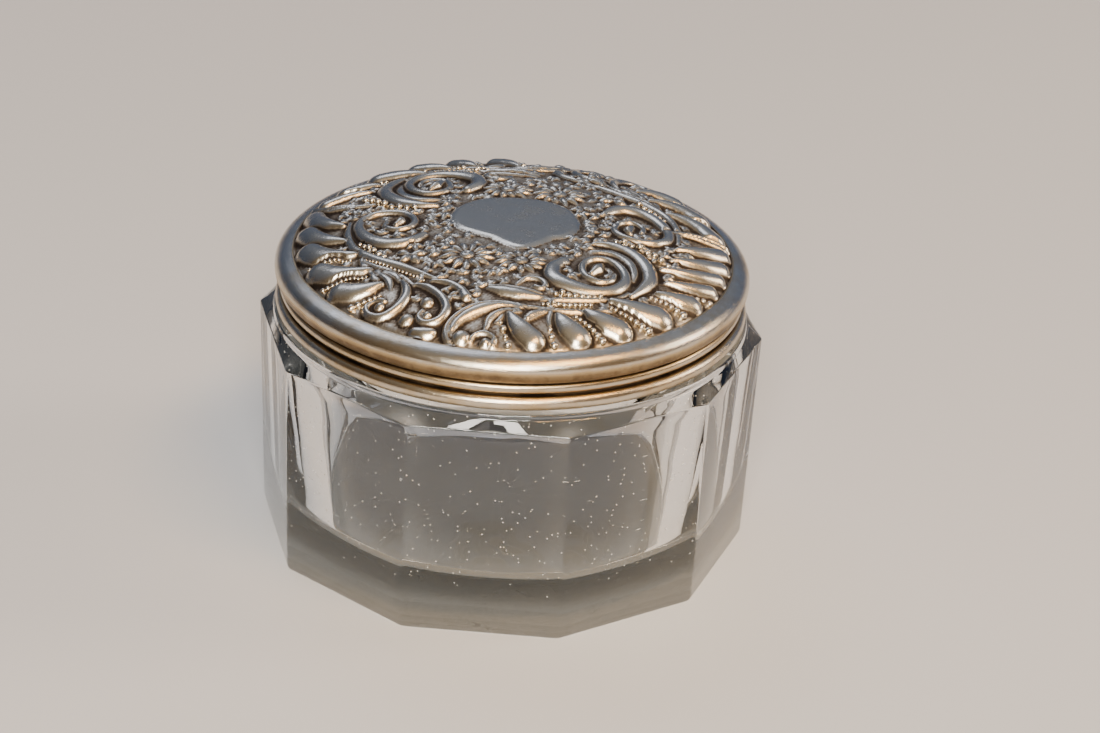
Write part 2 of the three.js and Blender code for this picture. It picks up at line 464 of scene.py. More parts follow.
dusty = node(tree, "ShaderNodeMixShader", _0=dust, _1=clear.outputs[0], _2=powder.outputs[0])
shadow = node(tree, "ShaderNodeLightPath").outputs["Is Shadow Ray"]
through = node(tree, "ShaderNodeBsdfTransparent", Color=linear("C4C5C3"))
surface(tree, node(tree, "ShaderNodeMixShader", _0=shadow, _1=dusty.outputs[0], _2=through.outputs[0]))
print(glass.name, "has", len(tree.nodes), "nodes and an index of", GLASS_INDEX)

# %% [markdown]
# ## Glass jar
# One body of glass: flat base, ten flat sides with softened corners, a shoulder that slopes up to a
# round ledge, and a round neck. The outline of a section through it is turned about Z, as a round jar
# would be, and then each ring of the panelled stretch is moved in to the ten-sided outline.

# %% Jar sizes that the boxes don't show
PANELS = 10
HALF_PANEL = math.pi / PANELS
PANEL_STEPS = 20
CORNER_ROUNDING = 1.3
EDGE_ROUNDING = 0.4
FOOT_BEVEL = 0.7
PANEL_TAPER = 0.8
SEAT_GAP = 0.3
BAND_WALL = 0.8
SMALL_BEAD_PROUD = 0.6
SLIP_FIT = 0.4
NECK_WALL = 3.0
WALL = 5.0
INSIDE_DRAFT = 2.0
FLOOR_CORNER = 3.0
LIP = 0.8
LEDGE_PROUD = 0.25
LEDGE_EDGE = 0.75
NECK_FILLET = 0.3
BASE_FLAT = 20
FLOOR_FLAT = 15
FOOT_LAND = 3

band_r = small_bead_r - SMALL_BEAD_PROUD
neck_r = band_r - BAND_WALL - SLIP_FIT
bore_r = neck_r - NECK_WALL
inside_r = corner_r * math.cos(HALF_PANEL) - WALL
floor_r = inside_r - INSIDE_DRAFT
ledge_r = wire_r + LEDGE_PROUD
ledge_top = wire_bottom - SEAT_GAP
print("neck", round(neck_r, 2), "bore", round(bore_r, 2), "inside", round(inside_r, 2))

# %% [markdown]
# ## Section of the jar
# The line runs from the middle of the base, up the outside, over the lip and down the inside to the
# floor. The third number says how far that ring follows the ten-sided outline: 1 on the panels, 0 on the
# ledge and neck. The shoulder is the straight run between the two, which is what gives it its facets. The
# hollow inside is round, with a little draft, because a plain plunger pressed it.

# %% Section of the jar: radius, height and how ten-sided the ring is
foot_r = corner_r - PANEL_TAPER
foot_edge = arc(foot_r - FOOT_BEVEL, FOOT_BEVEL, FOOT_BEVEL, FOOT_BEVEL, -90, 0, 5)
top_edge = arc(corner_r - EDGE_ROUNDING, PANEL_TOP - EDGE_ROUNDING, EDGE_ROUNDING, EDGE_ROUNDING, 0, 60, 4)
ledge_edge = arc(ledge_r - EDGE_ROUNDING, ledge_top - EDGE_ROUNDING, EDGE_ROUNDING, EDGE_ROUNDING, 0, 90, 4)
outside = [
    (0, 0, 0), (BASE_FLAT, 0, 0), (foot_r - FOOT_LAND, 0, 1), *[(r, z, 1) for r, z in foot_edge],
    (foot_r + PANEL_TAPER / 2, PANEL_TOP / 2, 1), *[(r, z, 1) for r, z in top_edge],
    (ledge_r + 0.35, ledge_top - 1.05, 0.06), (ledge_r + 0.1, ledge_top - 0.92, 0),
    (ledge_r, ledge_top - LEDGE_EDGE, 0), *[(r, z, 0) for r, z in ledge_edge],
    (neck_r + NECK_FILLET, ledge_top, 0), (neck_r, ledge_top + NECK_FILLET, 0),
]
inside = [
    *arc(neck_r - LIP, neck_top - LIP, LIP, LIP, 0, 90, 5),
    *arc(bore_r + LIP, neck_top - LIP, LIP, LIP, 90, 180, 5),
    (bore_r, ledge_top - 1), (bore_r + 0.3, ledge_top - 2.5), (inside_r - 0.3, ledge_top - 5.5),
    (inside_r, ledge_top - 7),
    *arc(floor_r - FLOOR_CORNER, FLOOR + FLOOR_CORNER, FLOOR_CORNER, FLOOR_CORNER, 0, -90, 8),
    (FLOOR_FLAT, FLOOR), (0, FLOOR),
]
section = outside + [(r, z, 0) for r, z in inside]

# %% [markdown]
# ## Ten flat sides
# The mould gives flat sides that meet in softened corners. Each turned point slides, at its own height,
# to the flat side or the corner's arc. The steps crowd towards the corners, where the outline bends.

# %% Turn it and square its sides
def panel_point(angle, corner, rounding):
    """Where a ring of that corner radius crosses this angle's step, on a ten-sided outline."""
    step = angle / (2 * HALF_PANEL)
    panel = math.floor(step + 1e-6)
    across = math.sin((2 * (step - panel) - 1) * math.pi / 2)
    run = corner * math.sin(HALF_PANEL) - rounding * math.tan(HALF_PANEL)
    x = across * (run + rounding * math.sin(HALF_PANEL))
    out = corner * math.cos(HALF_PANEL) - rounding + math.sqrt(rounding ** 2 - max(0, abs(x) - run) ** 2)
    middle = (panel + 0.5) * 2 * HALF_PANEL
    return (out * math.cos(middle) - x * math.sin(middle)), (out * math.sin(middle) + x * math.cos(middle))


bm = spun(bmesh.new(), [(r, z) for r, z, _ in section], PANELS * PANEL_STEPS, closed=False)
rows = np.array(section)
for vert in bm.verts:
    r, z = math.hypot(vert.co.x, vert.co.y) / MM, vert.co.z / MM
    share = rows[np.argmin((rows[:, 0] - r) ** 2 + (rows[:, 1] - z) ** 2), 2]
    if share:
        x, y = panel_point(math.atan2(vert.co.y, vert.co.x), r, CORNER_ROUNDING)
        vert.co.x += share * (x * MM - vert.co.x)
        vert.co.y += share * (y * MM - vert.co.y)
piece("glass_body", bm, glass, "jar", ["glass_jar"], crease=35)

# %% [markdown]
# ## Embossing: how the pattern is drawn
# The lid's top is thin silver sheet, struck in a steel die, and the pattern stands about a millimetre
# high. A die sinker works it as lines that swell and taper. The same is done here: a form is a smooth
# line on the plan of the lid, with its own widths and height, and it lifts the sheet below it into a
# rounded ridge. A new form presses down what it crosses, so that each one stands clear.

# %% A smooth line through a few points
def smooth_line(path, widths, step=0.25):
    """Rows of x, y and half width, about a quarter of a millimetre apart, through the path's points."""
    p = np.array(path, float)
    ends = np.vstack([2 * p[0] - p[1], p, 2 * p[-1] - p[-2]])
    rows = []
    for a, b, c, d in zip(ends, ends[1:], ends[2:], ends[3:]):
        count = max(2, int(math.dist(b, c) / step))
        t = (np.arange(count) / count)[:, None]
        slope, bow, twist = c - a, 2 * a - 5 * b + 4 * c - d, 3 * b - a - 3 * c + d
        rows.append(b + 0.5 * (slope * t + bow * t ** 2 + twist * t ** 3))
    line = np.vstack(rows + [p[-1:]])
    run = np.concatenate([[0], np.cumsum(np.hypot(*np.diff(line, axis=0).T))])
    return np.column_stack([line, np.interp(run / run[-1], np.linspace(0, 1, len(widths)), widths), run])


def nearest_stretch(spots, line):
    """For each spot: distance over half width, half width and run, at the line's nearest stretch."""
    found = np.full((3, len(spots)), 1e9)
    for (ax, ay, wa, run), (bx, by, wb, _) in zip(line, line[1:]):
        along = np.array([bx - ax, by - ay])
        length = max(math.hypot(*along), 1e-6)
        away = spots - (ax, ay)
        t = np.clip(away @ along / length ** 2, 0, 1)
        width = wa + t * (wb - wa)
        ratio = np.hypot(*(away - t[:, None] * along).T) / np.maximum(width, 1e-3)
        nearer = ratio < found[0]
        found[:, nearer] = np.stack([ratio, width, run + t * length])[:, nearer]
    return found


# %% [markdown]
# ## The relief itself
# The sheet starts flat, as a height of nought at every spot, and each form raises the spots below it. A
# ribbon may have a groove chased along it or notches punched across it. Beads stand apart from the sheet,
# because they are too round for it, and are only noted here.

# %% The relief of the sheet
PEARL_TROUGH = 0.35


class Relief:
    """Heights, in millimetres, of the spots of a sheet, raised one form at a time."""

    def __init__(self, spots):
        """Starts flat, with no pearls and unturned."""
        self.spots = spots
        self.height = np.zeros(len(spots))
        self.beads = []
        self.turn = 0.0

    def turned(self, path):
        """The path after the turn that the relief is being drawn at."""
        c, s = math.cos(self.turn), math.sin(self.turn)
        return [(c * x - s * y, s * x + c * y) for x, y in path]

    def near(self, path, widths):
        """The smooth line of a path, and the spots close enough to be raised by it."""
        line = smooth_line(self.turned(path), widths)
        reach = max(widths) * 1.4
        inside = (self.spots > line[:, :2].min(0) - reach) & (self.spots < line[:, :2].max(0) + reach)
        chosen = np.where(inside.all(1))[0]
        return line, chosen

    def ribbon(self, path, widths, height, groove=0.0, notches=0.0, pitch=0.7, roundness=0.62, valley=0.25):
        """A rounded ridge along the path. It may have a groove along its middle or notches across it."""
        line, chosen = self.near(path, widths)
        ratio, width, run = nearest_stretch(self.spots[chosen], line)
        raised = height * np.sqrt(width / max(widths)) * np.clip(1 - ratio ** 2, 0, 1) ** roundness
        raised -= groove * np.exp(-(ratio / 0.28) ** 2)
        punched = 0.5 + 0.5 * np.cos(2 * math.pi * run / pitch)
        raised -= notches * punched * np.clip(1.6 * ratio - 0.4, 0, 1)
        before = self.height[chosen]
        beside = before * np.where(ratio < 1.35, 1 - valley, 1)
        self.height[chosen] = np.where(ratio < 1, np.maximum(before * 0.25, raised), beside)

    def ball(self, x, y, radius, height):
        """A round knob: a ribbon with almost no length."""
        self.ribbon([(x - 0.02, y), (x + 0.02, y)], (radius, radius), height)

    def bead_row(self, path, sizes, count, trough=0.35):
        """Round beads along the path, closer together where they are smaller, in a shallow trough."""
        line, chosen = self.near(path, [size + PEARL_TROUGH for size in sizes])
        run = np.concatenate([[0], np.cumsum(np.diff(line[:, 3]) / line[1:, 2])])
        for at in np.linspace(0, run[-1], count):
            x, y, width = (np.interp(at, run, line[:, column]) for column in range(3))
            self.beads.append((x, y, width - PEARL_TROUGH))
        ratio = nearest_stretch(self.spots[chosen], line)[0]
        self.height[chosen] = np.where(ratio < 1, self.height[chosen] * trough, self.height[chosen])

    def bead(self, x, y, radius):
        """A single pearl."""
        (x, y), = self.turned([(x, y)])
        self.beads.append((x, y, radius))


# %% [markdown]
# ## Embossing: the forms
# The pattern repeats after half a turn of the lid, so each form is drawn once, for the half that is
# nearer the front, and again with the lid turned. Sizes are millimetres on the plan, from the lid's
# centre, with the front towards -Y. First come the forms that are used more than once.

# %% Lobes, daisies and sprigs
PATTERN_EDGE = 35.25


def lobe(relief, root_angle, root_radius, tip_angle, width, height, bend=0.05):
    """A teardrop that leans round the lid. Its angles run from the front, towards the right."""
    def spot(angle, radius):
        """A place on the plan."""
        return np.array([math.sin(math.radians(angle)), -math.cos(math.radians(angle))]) * radius

    root, tip = spot(root_angle, root_radius), spot(tip_angle, PATTERN_EDGE - width)
    side = np.array([root[1] - tip[1], tip[0] - root[0]]) * bend * math.copysign(1, root_angle - tip_angle)
    path = [root, root + 0.35 * (tip - root) + side, root + 0.7 * (tip - root) + side, tip]
    relief.ribbon(path, (0.3 * width, 0.72 * width, 0.97 * width, width), height, roundness=0.55)


def daisy(relief, x, y, eye, reach, petals, height, squash=1.0):
    """A flower seen from above, with pointed petals round a raised eye."""
    width = math.pi * reach / petals * 0.78
    for petal in range(petals):
        angle = math.radians(-90) + 2 * math.pi * petal / petals
        ca, sa = math.cos(angle), math.sin(angle) * squash
        path = [(x + ca * r, y + sa * r) for r in (eye, 0.72 * reach, reach)]
        relief.ribbon(path, (0.6 * width, width, 0.25 * width), height, groove=0.12, valley=0.5)
    relief.ribbon([(x - 0.02, y), (x + 0.02, y)], (eye, eye), 1.1 * height, groove=0.5 * height)


def sprig(relief, x, y, angle, size, height):
    """Three small leaves from one point, as filling."""
    for spread, reach in ((-0.9, 0.8), (0, 1), (0.9, 0.8)):
        ca, sa = math.cos(angle + spread), math.sin(angle + spread)
        path = [(x, y), (x + 0.6 * size * reach * ca, y + 0.6 * size * reach * sa),
                (x + size * reach * ca, y + size * reach * sa)]
        relief.ribbon(path, (0.12 * size, 0.3 * size, 0.1 * size), height, valley=0.0)


# %% [markdown]
# ## Great scroll
# The largest form of each half is a scroll that curls in on itself twice and ends in a small shell with
# veins. Two rows of pearls follow its lower edge and one its back. It is laid as one ribbon for each
# stem, the broadest first, so that the next ones stand clear of it, as a die sinker cuts them.

# %% The great scroll at the right, with its pearl edges
VEINS = 9


def great_scroll(relief):
    """The largest scroll, with the shell it ends in."""
    relief.ribbon([(12.7, -5.9), (15.5, -6.1), (18.6, -7.9), (20.9, -11.2), (21.5, -14.8), (20.3, -17.9),
                   (18.6, -20.3)],
                  (0.5, 1.1, 1.35, 1.45, 1.35, 1.0, 0.5), 1.0)
    relief.ribbon([(12.3, -8.6), (15.6, -8.7), (18.2, -10.8), (19.0, -13.6), (18.7, -16.2)],
                  (0.4, 0.8, 0.85, 0.75, 0.4), 0.65, groove=0.15)
    relief.ribbon([(7.9, -12.9), (6.3, -15.3), (6.6, -18.1), (9.2, -20.1), (12.8, -20.9), (16.0, -19.6),
                   (17.6, -16.6), (17.0, -13.4), (14.8, -11.2), (12.3, -11.5), (10.9, -13.6), (11.3, -16.4),
                   (13.4, -18.0), (15.4, -17.2), (15.9, -15.4)],
                  (1.1, 1.45, 1.65, 1.45, 1.2, 1.1, 0.95, 0.85, 0.75, 0.7, 0.7, 0.65, 0.45), 1.1)
    relief.ribbon([(12.3, -16.2), (13.1, -14.8), (14.1, -12.9)], (0.6, 1.05, 0.3), 1.15)
    for vein in range(VEINS):
        angle = math.radians(-75 + 19 * vein)
        ca, sa = math.cos(angle), math.sin(angle)
        relief.ribbon([(14.3 + r * ca, -14.9 + r * sa) for r in (0.9, 1.5)], (0.3, 0.16), 0.4, valley=0)
    relief.ribbon([(4.6, -24.3), (8.5, -23.6), (12.5, -22.9), (16.2, -21.6), (18.2, -19.6)],
                  (0.3, 0.55, 0.55, 0.3), 0.5)
    relief.bead_row([(6.8, -22.5), (10.2, -22.5), (13.7, -22.2)], (0.52, 0.58, 0.47), 8, trough=1)
    relief.bead_row([(4.9, -25.3), (8.5, -25.0), (12.2, -24.2)], (0.38, 0.47, 0.4), 10, trough=1)
    relief.bead_row([(16.2, -4.4), (20.0, -5.9), (24.4, -9.5)], (0.52, 0.63, 0.58), 8)


# %% [markdown]
# ## Side scroll
# A smaller scroll opens towards the left, and two long stems run from it down to the front leaf. The
# outer stem has a fine row of pearls, and the inner one is notched like a feather.

# %% The side scroll and its long stems
def side_scroll(relief):
    """The scroll at the left and the two stems that leave it."""
    relief.ribbon([(-14.2, -5.4), (-16.6, -8.0), (-19.8, -8.3), (-22.9, -6.0), (-24.7, -2.4), (-24.6, 0.6),
                   (-22.8, 2.8), (-20.2, 3.3), (-17.4, 2.4), (-16.0, 0.2), (-16.6, -2.4), (-18.8, -3.4),
                   (-20.6, -2.0), (-20.4, -0.2)],
                  (0.7, 1.3, 1.45, 1.4, 1.25, 1.05, 0.9, 0.8, 0.75, 0.7, 0.65, 0.6, 0.45), 1.1)
    relief.ribbon([(-18.9, -1.6), (-18.2, -0.2), (-18.6, 1.0)], (0.5, 0.9, 0.3), 1.0)
    relief.bead_row([(-24.2, -7.2), (-22.4, -9.4), (-20.2, -12.2)], (0.4, 0.54, 0.6), 6)
    relief.ribbon([(-26.3, 1.2), (-26.4, -3.6), (-24.9, -8.9), (-21.2, -12.9), (-17.2, -15.6),
                   (-13.9, -18.0), (-11.6, -19.5)],
                  (0.3, 0.75, 0.85, 1.0, 1.05, 0.8, 0.3), 0.85)
    relief.ribbon([(-23.9, -12.0), (-21.6, -14.6), (-18.9, -16.6), (-16.4, -19.0), (-15.0, -21.0)],
                  (0.4, 0.65, 0.65, 0.5, 0.3), 0.6, notches=0.3, pitch=0.65)
    relief.bead_row([(-22.9, -12.6), (-19.6, -15.2), (-16.4, -17.4), (-13.6, -19.7)],
                    (0.25, 0.31, 0.31, 0.25), 17, trough=1)


# %% [markdown]
# ## Leaves and curls
# Four pointed leaves fan out below the stems, and two tendrils curl round a berry each. The tendrils are
# thin ribbons that widen on the bend, which is how an engraver's stroke swells.

# %% Leaves and small curls at the left
def left_leaves(relief):
    """Four leaves, two tendrils and their berries."""
    for path, widths in (
            ([(-23.7, -12.9), (-22.9, -15.2), (-22.4, -17.6), (-22.6, -20.2)], (0.3, 0.9, 0.9, 0.2)),
            ([(-22.3, -15.6), (-21.2, -18.0), (-20.9, -20.2), (-21.0, -21.8)], (0.6, 0.95, 0.75, 0.15)),
            ([(-21.0, -16.4), (-19.5, -18.2), (-18.8, -20.0), (-18.6, -21.5)], (0.6, 0.9, 0.7, 0.15)),
            ([(-19.8, -16.8), (-18.2, -18.1), (-17.2, -19.7)], (0.5, 0.75, 0.25))):
        relief.ribbon(path, widths, 0.8, groove=0.12)
    relief.ribbon([(-16.9, -19.6), (-16.2, -21.6), (-16.3, -23.9), (-17.6, -26.1), (-19.7, -27.2),
                   (-21.7, -26.2), (-22.2, -24.4), (-20.9, -23.2), (-19.4, -23.9)],
                  (0.35, 0.8, 0.95, 1.0, 0.85, 0.7, 0.6, 0.5, 0.45), 0.95)
    relief.ball(-20.1, -25.0, 0.85, 0.8)
    relief.ribbon([(-14.9, -20.6), (-12.6, -22.0), (-10.6, -24.4), (-9.8, -27.0), (-10.8, -29.2),
                   (-12.8, -29.7), (-14.0, -28.4), (-13.4, -27.2)],
                  (0.3, 0.75, 0.8, 0.8, 0.9, 0.75, 0.6, 0.5), 0.9)
    for x, y, radius in ((-12.7, -28.2, 0.8), (-12.8, -25.3, 1.1), (-15.8, -28.5, 1.2)):
        relief.ball(x, y, radius, 0.85)
    relief.ribbon([(-14.4, -31.1), (-13.1, -31.6), (-11.9, -31.6)], (0.95, 1.3, 0.95), 0.95)
    relief.ribbon([(-12.4, -19.9), (-10.0, -20.6), (-7.9, -22.3), (-6.9, -24.4)],
                  (0.3, 0.65, 0.75, 1.05), 0.9)


# %% [markdown]
# ## Front leaf and fan
# A slim notched stem and a fat leaf lie above a fan, whose left rib sweeps down into a ball. Single pearls
# fill the gaps between its ribs.

# %% The leaf and the fan at the front
def front_leaf(relief):
    """The fat leaf, the stem above it and the fan below it."""
    relief.ribbon([(18.0, -21.0), (15.8, -24.2), (12.0, -25.8), (8.0, -26.4), (4.6, -26.3), (1.0, -25.9)],
                  (0.35, 0.55, 0.6, 0.6, 0.5, 0.3), 0.5, notches=0.2)
    relief.ribbon([(-3.6, -22.0), (-1.2, -22.7), (1.6, -23.3), (4.2, -23.7), (5.6, -23.6)],
                  (0.4, 1.25, 1.4, 0.8, 0.2), 0.95)
    relief.ribbon([(-3.4, -21.2), (-0.5, -21.5), (2.4, -22.0), (4.6, -22.6)], (0.25, 0.5, 0.5, 0.25), 0.5)
    relief.ribbon([(0.9, -20.4), (2.2, -18.9), (4.2, -19.0), (5.2, -20.3), (4.5, -21.4), (3.5, -20.9)],
                  (0.3, 0.5, 0.6, 0.6, 0.5, 0.4), 0.65)
    relief.ribbon([(1.8, -26.4), (-1.8, -26.3), (-5.0, -27.3), (-7.7, -29.3), (-8.9, -31.6), (-8.4, -33.0)],
                  (0.3, 0.85, 1.3, 1.25, 0.9, 0.8), 0.9, notches=0.15, pitch=0.65)
    relief.ribbon([(2.4, -26.0), (-1.6, -25.5), (-5.2, -26.2), (-8.2, -28.4), (-9.7, -31.0), (-9.3, -33.2),
                   (-8.0, -34.0)],
                  (0.25, 0.35, 0.4, 0.42, 0.45, 0.5, 0.55), 0.7)
    relief.ball(-7.3, -32.9, 1.45, 1.05)
    relief.ribbon([(1.2, -26.9), (-1.6, -27.7), (-3.2, -29.2), (-3.7, -31.2)], (0.3, 0.6, 0.7, 0.4), 0.6)
    relief.ribbon([(1.6, -27.2), (-0.8, -28.3), (-2.0, -29.8)], (0.25, 0.45, 0.35), 0.45)
    relief.ribbon([(-5.9, -33.6), (-5.3, -32.4), (-3.7, -32.0), (-2.3, -32.9), (-2.5, -34.2)],
                  (0.3, 0.45, 0.55, 0.5, 0.4), 0.6)
    relief.ball(-3.6, -33.8, 0.85, 0.8)
    relief.ribbon([(2.0, -29.8), (3.2, -28.0), (5.4, -26.9)], (0.45, 0.85, 0.45), 0.7)
    relief.ribbon([(6.2, -27.0), (5.9, -28.6), (6.1, -29.9)], (0.4, 0.5, 0.3), 0.5)
    for x, y, radius in ((-1.0, -31.1, 0.62), (-0.6, -32.6, 0.48), (-0.2, -34.1, 0.68), (-1.4, -29.9, 0.36),
                         (6.1, -30.6, 0.44), (6.4, -31.9, 0.56), (6.8, -33.5, 0.72)):
        relief.bead(x, y, radius)


# %% [markdown]
# ## Lobes
# Fat teardrops lean round the edge like the flutes of a shell, and are the highest part of the relief.
# Rows of pearls that grow towards the edge lie between them.

# %% The border of leaning lobes
def lobes(relief):
    """The leaning teardrops of one half, and the pearls between them."""
    for root_angle, root_radius, tip_angle, width, height in (
            (-0.4, 28.2, 6.2, 1.95, 1.45), (14.7, 28.6, 18.4, 2.1, 1.5), (23.9, 28.5, 30.4, 2.15, 1.5),
            (34.4, 27.4, 44.0, 2.3, 1.5), (51.5, 29.0, 57.4, 1.8, 1.3), (58.8, 28.2, 67.5, 1.4, 1.2)):
        lobe(relief, root_angle, root_radius, tip_angle, width, height)
    for root_angle, root_radius, tip_angle, width, height in (
            (-45.4, 28.4, -53.0, 2.1, 1.45), (-54.6, 27.2, -66.2, 2.2, 1.5), (-67.0, 27.0, -79.4, 2.2, 1.5)):
        lobe(relief, root_angle, root_radius, tip_angle, width, height, 0.12)
    relief.bead_row([(10.0, -27.3), (12.2, -29.0), (14.1, -31.2)], (0.36, 0.46, 0.72), 7)
    relief.bead_row([(15.4, -24.0), (18.2, -25.4), (21.2, -27.0)], (0.36, 0.48, 0.76), 8)
    relief.bead_row([(21.6, -19.4), (24.0, -19.9), (26.6, -21.3)], (0.36, 0.46, 0.78), 7)
    relief.bead_row([(26.4, -16.4), (28.8, -16.0), (31.0, -15.7)], (0.34, 0.42, 0.58), 6)
    relief.bead_row([(-20.2, -22.4), (-22.4, -23.2), (-24.4, -24.0)], (0.36, 0.46, 0.72), 6)
    relief.bead_row([(-22.6, -17.4), (-26.0, -17.2), (-29.2, -18.0)], (0.28, 0.36, 0.46), 11)
    relief.bead_row([(-25.4, -12.0), (-28.6, -10.9), (-31.8, -11.4)], (0.28, 0.36, 0.46), 10)


def side_lobes(relief):
    """Where the two halves meet, three lobes lean one way at the right, and two the other at the left."""
    for root_angle, root_radius, tip_angle, width in (
            (64.6, 25.9, 75.0, 1.45), (73.5, 26.2, 82.2, 1.6), (83.0, 26.4, 90.8, 1.7)):
        lobe(relief, root_angle, root_radius, tip_angle, width, 1.3)
    for root_angle, root_radius, tip_angle, width in ((-78.5, 27.4, -91.4, 2.0), (-90.5, 27.4, -102.2, 1.9)):
        lobe(relief, root_angle, root_radius, tip_angle, width, 1.4, 0.1)
    for angle in (96.0, -107.4):
        lobe(relief, angle, 24.5, angle, 1.0, 1.0)
        lobe(relief, angle, 25.5, angle, 0.45, 1.2)


# %% [markdown]
# ## Flowers
# Two daisies lie below the shield, seen from above, and a four-petal blossom lies by the left scroll.

# %% Daisies and the four-petal blossom
def flowers(relief):
    """Two daisies and a blossom."""
    daisy(relief, -7.2, -12.4, 1.3, 4.3, 13, 0.85)
    daisy(relief, 1.3, -13.6, 1.25, 4.1, 13, 0.8, squash=0.85)
    for angle in (-60, -130, 20, 150):
        ca, sa = math.cos(math.radians(angle)), math.sin(math.radians(angle))
        relief.ribbon([(-16 + r * ca, -12.3 + r * sa) for r in (0.4, 1.5, 2.4)],
                      (0.5, 0.95, 0.3), 0.85, valley=0)


# %% [markdown]
# ## Sprigs
# Between the larger forms the ground is crowded with tiny leaves, so fine that no two can be told apart.
# They are scattered where the ground is still bare, with a fixed seed.

# %% Sprigs that fill what is left of the ground
def sprigs(relief, tries=3000, size=1.7, height=0.55, seed=7):
    """Scattered with a fixed seed, only where the ground is still bare, between the shield and the lobes."""
    draw = np.random.default_rng(seed)
    for _ in range(tries):
        x, y = draw.uniform(-28, 28, 2)
        angle = draw.uniform(0, 2 * math.pi)
        grown = draw.uniform(0.8, 1.2)
        middle = (x + 0.5 * size * math.cos(angle), y + 0.5 * size * math.sin(angle))
        close = (np.abs(relief.spots - middle) < 0.45 * size).all(1)
        if 9 < math.hypot(x, y) < 29 and relief.height[close].mean() < 0.03:
            sprig(relief, x, y, angle, size * grown, height * grown)


# %% [markdown]
# ## Shield
# The middle is a low smooth shield, left plain for a monogram, and never engraved. Its outline is drawn
# as a closed line, and the sheet inside it swells quickly from the edge and then stays level.

# %% The plain shield in the middle
SHIELD = [(0, 10.4), (5.2, 9.5), (8.9, 6.6), (10.4, 2.2), (10.1, -1.6), (8.3, -4.3), (5.9, -5.6),
          (4.2, -7.4), (1.5, -9.3), (-1.2, -8.2), (-3.6, -6.0), (-6.4, -4.5), (-9.0, -2.6), (-10.3, 0.6),
          (-10.0, 4.0), (-8.2, 7.2), (-4.7, 9.7), (0, 10.4)]


def shield(relief, height=0.45, edge=0.8):
    """A low smooth cushion, left plain for a monogram."""
    line = smooth_line(SHIELD, (1, 1))
    chosen = np.where((np.abs(relief.spots) < 12).all(1))[0]
    x, y = relief.spots[chosen].T
    inside = np.zeros(len(chosen), bool)
    for (ax, ay), (bx, by) in zip(line[:, :2], line[1:, :2]):
        if ay != by:
            inside ^= ((ay > y) != (by > y)) & (x < ax + (y - ay) * (bx - ax) / (by - ay))
    away = nearest_stretch(relief.spots[chosen], line)[0]
    cushion = height * np.clip(away / edge, 0, 1) ** 0.5
    rim = np.clip(away / edge, 0, 1)
    relief.height[chosen] = np.where(inside, cushion, relief.height[chosen] * rim)
    return chosen[inside]


# %% [markdown]
# ## All forms in order
# Both halves are drawn first, then what lies where they meet, the shield over them, and the filling last.

# %% The whole pattern
def emboss(spots):
    """Raises the whole pattern. Returns the relief and the shield's spots."""
    relief = Relief(spots)
    for relief.turn in (math.pi, 0.0):
        great_scroll(relief)
        side_scroll(relief)
        front_leaf(relief)
        left_leaves(relief)
        flowers(relief)
        lobes(relief)
    side_lobes(relief)
    plain = shield(relief)
    sprigs(relief)
    return relief, plain


# %% [markdown]
# ## Band and foot wire
# The band is a short silver tube that slips over the neck, with a small bead raised round it. A
# half-round wire is soldered round its foot. Both are turned from their sections. The film of
# tarnish is thickest in the corners beside the bead and the wire.

# %% Band and foot wire
SOLDER_GAP = 0.15
BEAD_RISE = 0.75
BEAD_GAP = 0.45
BEAD_FILLET = 0.2
FILM_REACH = 0.55
BAND_STEPS = 288
small_bead_z = wire_top + BEAD_GAP + BEAD_RISE
section = [
    (band_r - BAND_WALL, band_bottom), (band_r, band_bottom),
    (band_r, small_bead_z - BEAD_RISE - BEAD_FILLET),
    *arc(band_r, small_bead_z, SMALL_BEAD_PROUD, BEAD_RISE, -90, 90, 12),
    (band_r, small_bead_z + BEAD_RISE + BEAD_FILLET), (band_r, band_top), (band_r - BAND_WALL, band_top),
]
band = piece("lid_band", spun(bmesh.new(), section, BAND_STEPS), silver, "lid",
             ["lid_skirt"])
r, z = turned_points(band)
beside_bead = 0.75 * np.clip(1 - (r - band_r) / FILM_REACH, 0, 1) + 0.1
mark_film_and_painted_shade(band, np.where(r > band_r - 0.1, beside_bead, 0.15))

section = arc(band_r + SOLDER_GAP, (wire_bottom + wire_top) / 2, wire_r - band_r - SOLDER_GAP,
              (wire_top - wire_bottom) / 2, -90, 90, 16)
wire = piece("lid_foot_wire", spun(bmesh.new(), section, BAND_STEPS), silver, "lid",
             ["lid_foot_bead"])
r, z = turned_points(wire)
mark_film_and_painted_shade(wire, 0.7 * np.clip((wire_r - 0.45 - r) / 0.6, 0, 1) + 0.08)

# %% [markdown]
# ## Embossed top of the lid
# A sheet needs many evenly spread points for a relief this fine, and a fan or a grid crowds them. So
# a six-sided plate is cut into even triangles, and its rings are then pushed out to round ones. The
# upper side is lifted to the domed shape plus the relief. A coarser plate, turned over, is the inside,
# where the pattern shows softly in reverse. The two are joined round the edge.

